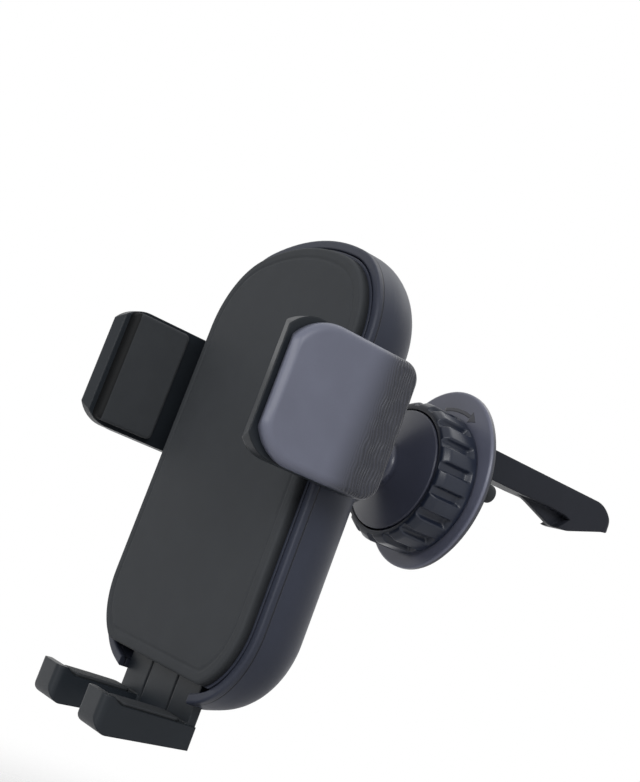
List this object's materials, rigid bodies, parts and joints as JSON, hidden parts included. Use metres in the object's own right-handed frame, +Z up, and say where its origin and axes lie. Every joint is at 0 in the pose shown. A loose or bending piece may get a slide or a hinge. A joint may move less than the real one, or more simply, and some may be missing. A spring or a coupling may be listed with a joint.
{
  "type": "air vent phone holder",
  "caption": "Phone cradle for a car's air vent: squeezing side arms, a sliding foot, a ball joint with a ring nut and a ribbed knob that pulls a hook tight behind a vent slat.",
  "frame": {"origin": "where the clip's axis meets the soft face that rests on the vent", "axes": "+Y into the vent, +Z up along the phone, +X to the right of someone facing the screen"},
  "size_m": [0.09, 0.1397, 0.1188],
  "materials": {
    "housing": "satin",
    "arm_core": "satin",
    "clip_plastic": "satin",
    "hook_plastic": "satin",
    "inner_plastic": "matte",
    "soft_pad": "matte",
    "steel": "satin"
  },
  "bodies": {
    "clip": {"ball_stem": "clip_plastic", "vent_flange": "clip_plastic", "vent_pad": "soft_pad"},
    "cup_liner": {"ball_cup_liner": "inner_plastic"},
    "ring_liner": {"ball_ring_liner": "inner_plastic"},
    "cradle": {"rear_shell": "housing", "front_cover": "housing", "front_pad": "soft_pad", "gear_plate": "inner_plastic", "pinion_pin": "steel", "cover_screws": "steel", "plate_screws": "steel", "latch_spring": "steel"},
    "right_arm": {"right_arm": "arm_core", "right_arm_cover": "housing", "right_arm_pad": "soft_pad"},
    "left_arm": {"left_arm": "arm_core", "left_arm_cover": "housing", "left_arm_pad": "soft_pad"},
    "pinion": {"pinion_gear": "inner_plastic"},
    "foot": {"foot_slide": "arm_core", "foot_pads": "soft_pad"},
    "latch": {"latch": "inner_plastic"},
    "button": {"release_button": "arm_core"},
    "nut": {"socket_nut": "clip_plastic"},
    "knob": {"clamp_knob": "clip_plastic"},
    "hook": {"hook_carriage": "clip_plastic", "hook_bar": "hook_plastic", "hook_screw": "steel"}
  },
  "joints": [
    {"name": "ball_tilt", "type": "hinge", "parent": "clip", "child": "cup_liner", "pos_m": [0, -0.0287, 0], "axis": [1, 0, 0], "range_deg": [-22, 22]},
    {"name": "ball_pan", "type": "hinge", "parent": "cup_liner", "child": "ring_liner", "pos_m": [0, -0.0287, 0], "axis": [0, 0, 1], "range_deg": [-22, 22]},
    {"name": "ball_roll", "type": "hinge", "parent": "ring_liner", "child": "cradle", "pos_m": [0, -0.0287, 0], "axis": [0, 1, 0], "continuous": true},
    {"name": "nut_turn", "type": "hinge", "parent": "cradle", "child": "nut", "pos_m": [0, -0.032, 0], "axis": [0, 1, 0], "range_deg": [-60, 60]},
    {"name": "right_arm_slide", "type": "slide", "parent": "cradle", "child": "right_arm", "axis": [1, 0, 0], "range_m": [-0.0025, 0.011]},
    {"name": "left_arm_slide", "type": "slide", "parent": "cradle", "child": "left_arm", "axis": [1, 0, 0], "range_m": [-0.011, 0.0025]},
    {"name": "pinion_turn", "type": "hinge", "parent": "cradle", "child": "pinion", "pos_m": [0, -0.0489, 0], "axis": [0, 1, 0], "range_deg": [-24, 105.1]},
    {"name": "foot_height", "type": "slide", "parent": "cradle", "child": "foot", "axis": [0, 0, 1], "range_m": [-0.018, 0.0015]},
    {"name": "button_press", "type": "slide", "parent": "cradle", "child": "button", "axis": [0, -1, 0], "range_m": [0, 0.002], "stiffness_N_per_m": 600, "springref_m": -0.001},
    {"name": "latch_slide", "type": "slide", "parent": "cradle", "child": "latch", "axis": [0, 0, -1], "range_m": [0, 0.0012], "deforming": ["latch_spring"]},
    {"name": "knob_turn", "type": "hinge", "parent": "clip", "child": "knob", "pos_m": [0, -0.0085, 0], "axis": [0, 1, 0], "range_deg": [0, 720]},
    {"name": "hook_slide", "type": "slide", "parent": "clip", "child": "hook", "axis": [0, -1, 0], "range_m": [0, 0.0048]}
  ],
  "couplings": [
    {"joint": "left_arm_slide", "follows": "right_arm_slide", "ratio": -1},
    {"joint": "pinion_turn", "follows": "right_arm_slide", "rad_per_m": 166.67},
    {"joint": "latch_slide", "follows": "button_press", "ratio": 0.6},
    {"joint": "hook_slide", "follows": "knob_turn", "m_per_rad": 0.00038197}
  ]
}
